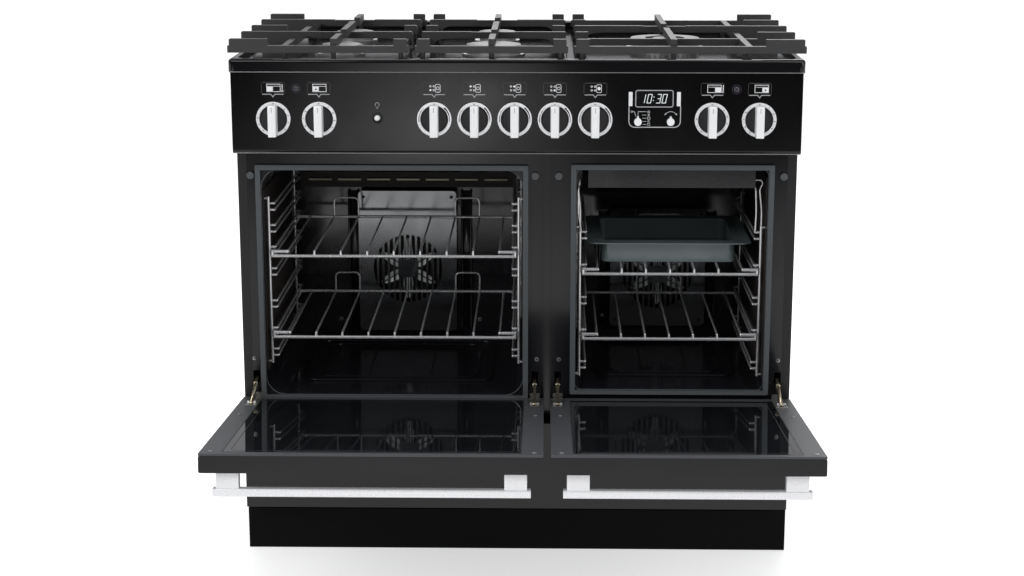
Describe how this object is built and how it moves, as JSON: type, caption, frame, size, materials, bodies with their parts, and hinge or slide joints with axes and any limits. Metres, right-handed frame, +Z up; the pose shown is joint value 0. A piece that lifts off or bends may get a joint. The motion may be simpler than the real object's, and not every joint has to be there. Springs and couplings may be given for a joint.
{
  "type": "range cooker with double oven",
  "caption": "Wide free-standing range cooker with a gas hob, two side-by-side ovens with drop-down doors, and a storage drawer.",
  "frame": {"origin": "on the floor, in the middle of the width, in the plane of the oven front frame", "axes": "+X to the viewer's right, +Y towards the back, +Z up"},
  "size_m": [1.004, 1.0598, 0.947],
  "materials": {
    "black_enamel": "gloss black vitreous enamel",
    "black_paint": "satin black powder coat",
    "cavity_enamel": "gloss black easy-clean enamel",
    "catalytic_enamel": "matt brown-black catalytic enamel",
    "textured_paint": "fine textured dark grey paint",
    "galvanised_steel": "galvanised sheet",
    "zinc_steel": "zinc-plated steel",
    "yellow_zinc": "yellow passivated steel",
    "grey_seal": "blue-grey woven and moulded seal",
    "chrome_wire": "bright chrome-plated wire",
    "element_steel": "dark sheathed heating element",
    "cast_aluminium": "matt cast aluminium",
    "cap_enamel": "pale matt burner cap",
    "cast_iron": "sandy matt black enamelled cast iron",
    "satin_metal": "satin pale metal",
    "knob_metal": "bright dial ring, dark grey body and satin bar",
    "black_plastic": "gloss black plastic and smoked window",
    "lamp_glass": "frosted lamp glass",
    "door_glass": "dark reflective oven glass",
    "pan_enamel": "gloss black pan enamel"
  },
  "bodies": {
    "cooker": {"base_frame": "galvanised_steel", "levelling_feet": "zinc_steel", "plinth": "black_paint", "side_panels": "black_paint", "back_panel": "galvanised_steel", "front_frame": "black_enamel", "left_cavity": "cavity_enamel", "right_cavity": "cavity_enamel", "oven_seals": "grey_seal", "side_racks": "chrome_wire", "oven_liners": "catalytic_enamel", "fan_covers": "cavity_enamel", "heating_elements": "element_steel", "fan_motors": "zinc_steel", "lamps": "lamp_glass", "hinge_brackets": "zinc_steel", "hob_top": "black_enamel", "burner_cups": "cast_aluminium", "burner_crowns": "cast_aluminium", "burner_caps": "cap_enamel", "control_panel": "black_enamel", "gas_rail": "zinc_steel", "clock_module": "black_plastic", "rear_vent": "black_enamel", "terminal_box": "galvanised_steel"},
    "left_door": {"left_door_shell": "black_enamel", "left_door_glass": "door_glass", "left_door_liner": "textured_paint", "left_door_hinges": "zinc_steel", "left_handle": "satin_metal"},
    "right_door": {"right_door_shell": "black_enamel", "right_door_glass": "door_glass", "right_door_liner": "textured_paint", "right_door_hinges": "zinc_steel", "right_handle": "satin_metal"},
    "left_arms": {"left_hinge_arms": "yellow_zinc"},
    "right_arms": {"right_hinge_arms": "yellow_zinc"},
    "storage_drawer": {"drawer": "black_enamel"},
    "left_mode_dial": {"left_mode_knob": "knob_metal"},
    "left_heat_dial": {"left_heat_knob": "knob_metal"},
    "hob_dial_1": {"hob_knob_1": "knob_metal"},
    "hob_dial_2": {"hob_knob_2": "knob_metal"},
    "hob_dial_3": {"hob_knob_3": "knob_metal"},
    "hob_dial_4": {"hob_knob_4": "knob_metal"},
    "hob_dial_5": {"hob_knob_5": "knob_metal"},
    "right_mode_dial": {"right_mode_knob": "knob_metal"},
    "right_heat_dial": {"right_heat_knob": "knob_metal"},
    "clock_select_dial": {"clock_select_knob": "chrome_wire"},
    "clock_set_dial": {"clock_set_knob": "chrome_wire"},
    "light_push": {"light_button": "chrome_wire"},
    "left_fan_wheel": {"left_fan": "zinc_steel"},
    "right_fan_wheel": {"right_fan": "zinc_steel"},
    "left_top_shelf": {"left_upper_shelf": "chrome_wire"},
    "left_bottom_shelf": {"left_lower_shelf": "chrome_wire"},
    "right_top_shelf": {"right_upper_shelf": "chrome_wire"},
    "right_bottom_shelf": {"right_lower_shelf": "chrome_wire"},
    "pan": {"grill_pan": "pan_enamel"},
    "left_grate": {"left_pan_support": "cast_iron"},
    "centre_grate": {"centre_pan_support": "cast_iron"},
    "right_grate": {"right_pan_support": "cast_iron"}
  },
  "joints": [
    {"name": "left_door_hinge", "type": "hinge", "parent": "cooker", "child": "left_door", "pos_m": [-0.2235, -0.024, 0.281], "axis": [-1, 0, 0], "range_deg": [0, 84.8]},
    {"name": "right_door_hinge", "type": "hinge", "parent": "cooker", "child": "right_door", "pos_m": [0.27925, -0.024, 0.281], "axis": [-1, 0, 0], "range_deg": [0, 84.8]},
    {"name": "left_arm_pivot", "type": "hinge", "parent": "left_door", "child": "left_arms", "pos_m": [-0.22035, -0.06995, 0.29904], "axis": [-1, 0, 0], "range_deg": [-65.11, 0]},
    {"name": "right_arm_pivot", "type": "hinge", "parent": "right_door", "child": "right_arms", "pos_m": [0.2746, -0.06995, 0.29904], "axis": [-1, 0, 0], "range_deg": [-65.11, 0]},
    {"name": "drawer_slide", "type": "slide", "parent": "cooker", "child": "storage_drawer", "axis": [0, -1, 0], "range_m": [0, 0.4]},
    {"name": "left_mode_turn", "type": "hinge", "parent": "cooker", "child": "left_mode_dial", "pos_m": [-0.4235, -0.05, 0.809], "axis": [0, 1, 0], "range_deg": [0, 300]},
    {"name": "left_heat_turn", "type": "hinge", "parent": "cooker", "child": "left_heat_dial", "pos_m": [-0.3434, -0.05, 0.809], "axis": [0, 1, 0], "range_deg": [0, 280]},
    {"name": "hob_turn_1", "type": "hinge", "parent": "cooker", "child": "hob_dial_1", "pos_m": [-0.1426, -0.05, 0.809], "axis": [0, -1, 0], "range_deg": [0, 240]},
    {"name": "hob_turn_2", "type": "hinge", "parent": "cooker", "child": "hob_dial_2", "pos_m": [-0.0726, -0.05, 0.809], "axis": [0, -1, 0], "range_deg": [0, 240]},
    {"name": "hob_turn_3", "type": "hinge", "parent": "cooker", "child": "hob_dial_3", "pos_m": [-0.0026, -0.05, 0.809], "axis": [0, -1, 0], "range_deg": [0, 240]},
    {"name": "hob_turn_4", "type": "hinge", "parent": "cooker", "child": "hob_dial_4", "pos_m": [0.0674, -0.05, 0.809], "axis": [0, -1, 0], "range_deg": [0, 240]},
    {"name": "hob_turn_5", "type": "hinge", "parent": "cooker", "child": "hob_dial_5", "pos_m": [0.1374, -0.05, 0.809], "axis": [0, -1, 0], "range_deg": [0, 240]},
    {"name": "right_mode_turn", "type": "hinge", "parent": "cooker", "child": "right_mode_dial", "pos_m": [0.3403, -0.05, 0.809], "axis": [0, 1, 0], "range_deg": [0, 300]},
    {"name": "right_heat_turn", "type": "hinge", "parent": "cooker", "child": "right_heat_dial", "pos_m": [0.4221, -0.05, 0.809], "axis": [0, 1, 0], "range_deg": [0, 280]},
    {"name": "clock_select_turn", "type": "hinge", "parent": "cooker", "child": "clock_select_dial", "pos_m": [0.2117, -0.05, 0.8056], "axis": [0, 1, 0], "range_deg": [-30, 120]},
    {"name": "clock_set_turn", "type": "hinge", "parent": "cooker", "child": "clock_set_dial", "pos_m": [0.2686, -0.05, 0.8056], "axis": [0, 1, 0], "range_deg": [-30, 30], "stiffness_Nm_per_rad": 0.02},
    {"name": "light_push_slide", "type": "slide", "parent": "cooker", "child": "light_push", "axis": [0, 1, 0], "range_m": [0, 0.003], "stiffness_N_per_m": 400},
    {"name": "left_fan_spin", "type": "hinge", "parent": "cooker", "child": "left_fan_wheel", "pos_m": [-0.224, 0.41, 0.446], "axis": [0, 1, 0], "continuous": true},
    {"name": "right_fan_spin", "type": "hinge", "parent": "cooker", "child": "right_fan_wheel", "pos_m": [0.277, 0.41, 0.436], "axis": [0, 1, 0], "continuous": true},
    {"name": "left_top_shelf_slide", "type": "slide", "parent": "cooker", "child": "left_top_shelf", "axis": [0, 1, 0], "range_m": [-0.24, 0]},
    {"name": "left_bottom_shelf_slide", "type": "slide", "parent": "cooker", "child": "left_bottom_shelf", "axis": [0, 1, 0], "range_m": [-0.24, 0]},
    {"name": "right_top_shelf_slide", "type": "slide", "parent": "cooker", "child": "right_top_shelf", "axis": [0, 1, 0], "range_m": [-0.24, 0]},
    {"name": "right_bottom_shelf_slide", "type": "slide", "parent": "cooker", "child": "right_bottom_shelf", "axis": [0, 1, 0], "range_m": [-0.24, 0]},
    {"name": "pan_slide", "type": "slide", "parent": "right_top_shelf", "child": "pan", "axis": [0, 1, 0], "range_m": [-0.18, 0]},
    {"name": "left_grate_lift", "type": "slide", "parent": "cooker", "child": "left_grate", "axis": [0, 0, 1], "range_m": [0, 0.08]},
    {"name": "centre_grate_lift", "type": "slide", "parent": "cooker", "child": "centre_grate", "axis": [0, 0, 1], "range_m": [0, 0.08]},
    {"name": "right_grate_lift", "type": "slide", "parent": "cooker", "child": "right_grate", "axis": [0, 0, 1], "range_m": [0, 0.08]}
  ],
  "couplings": [
    {"joint": "left_arm_pivot", "follows": "left_door_hinge", "ratio": -0.76769},
    {"joint": "right_arm_pivot", "follows": "right_door_hinge", "ratio": -0.76769}
  ]
}
